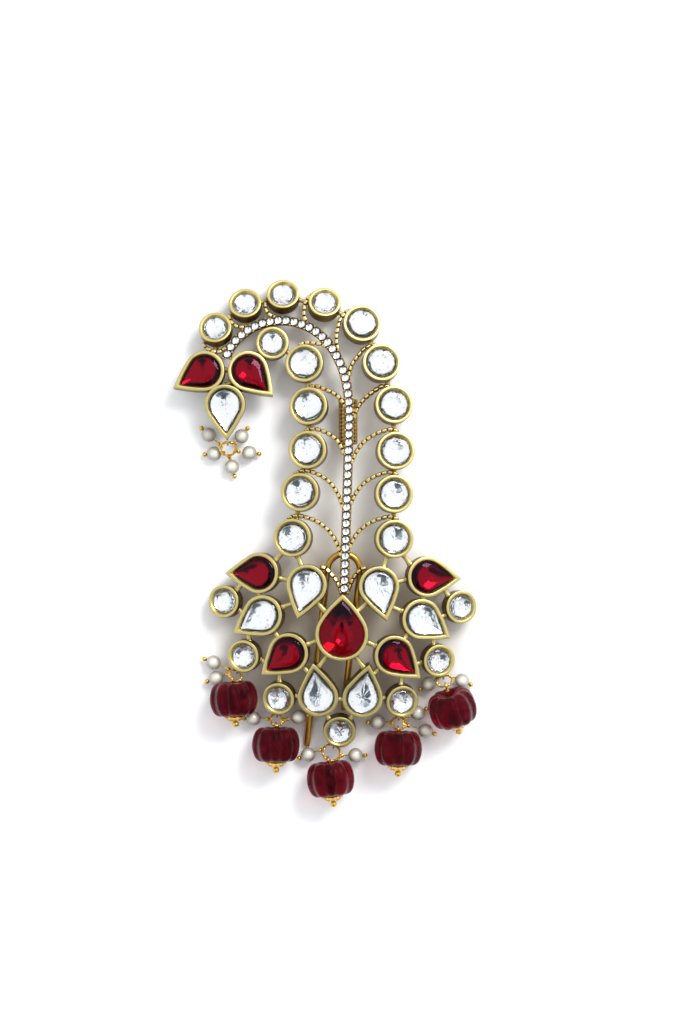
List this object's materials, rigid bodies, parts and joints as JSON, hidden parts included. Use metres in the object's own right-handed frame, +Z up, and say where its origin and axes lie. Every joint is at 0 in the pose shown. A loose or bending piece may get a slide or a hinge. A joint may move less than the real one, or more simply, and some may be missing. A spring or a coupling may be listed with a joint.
{
  "type": "kalgi turban brooch with stone plume, fan and hanging glass beads",
  "caption": "Gilt kalgi brooch: a curled plume of clear stones over a fan of clear and red pear stones, hung with carved red beads and small pearls.",
  "frame": {"origin": "centre of the bounding box at its lowest level, with the brooch lying face up", "axes": "+Z up out of the stones' faces, +Y from the fan to the top of the plume, +X to the right of the face"},
  "size_m": [0.0728, 0.1266, 0.0119],
  "materials": {
    "antique_gold": "matte antique gilt",
    "bright_gold": "polished gilt",
    "clear_stone": "foil-backed cut glass",
    "red_stone": "foil-backed polished red glass",
    "red_glass": "carved dark red glass, lightly frosted",
    "pearl": "pearl lustre"
  },
  "bodies": {
    "root": {"frame": "antique_gold", "spine_stones": "clear_stone", "jump_rings": "bright_gold", "pearl_pins": "bright_gold", "hair_pin": "antique_gold", "stone_right_1": "clear_stone", "stone_right_2": "clear_stone", "stone_right_3": "clear_stone", "stone_right_4": "clear_stone", "stone_right_5": "clear_stone", "stone_right_6": "clear_stone", "stone_top_1": "clear_stone", "stone_top_2": "clear_stone", "stone_top_3": "clear_stone", "stone_top_4": "clear_stone", "stone_left_1": "clear_stone", "stone_left_2": "clear_stone", "stone_left_3": "clear_stone", "stone_left_4": "clear_stone", "stone_left_5": "clear_stone", "stone_inner": "clear_stone", "stone_crest_left": "red_stone", "stone_crest_right": "red_stone", "stone_crest_low": "clear_stone", "stone_fan_upper_right": "red_stone", "stone_fan_inner_right": "clear_stone", "stone_fan_side_right": "clear_stone", "stone_fan_lower_right": "red_stone", "stone_fan_foot_right": "clear_stone", "stone_fan_upper_left": "red_stone", "stone_fan_inner_left": "clear_stone", "stone_fan_side_left": "clear_stone", "stone_fan_lower_left": "red_stone", "stone_fan_foot_left": "clear_stone", "stone_fan_edge_right": "clear_stone", "stone_fan_corner_right": "clear_stone", "stone_fan_base_right": "clear_stone", "stone_fan_edge_left": "clear_stone", "stone_fan_corner_left": "clear_stone", "stone_fan_base_left": "clear_stone", "stone_middle": "red_stone", "stone_bottom": "clear_stone", "melon_bead_1": "red_glass", "melon_bead_2": "red_glass", "melon_bead_3": "red_glass", "melon_bead_4": "red_glass", "melon_bead_5": "red_glass", "bead_pin_1": "bright_gold", "bead_pin_2": "bright_gold", "bead_pin_3": "bright_gold", "bead_pin_4": "bright_gold", "bead_pin_5": "bright_gold", "pearls_1": "pearl", "pearls_2": "pearl", "pearls_3": "pearl", "pearls_4": "pearl", "pearls_5": "pearl", "pearls_6": "pearl"}
  },
  "joints": []
}
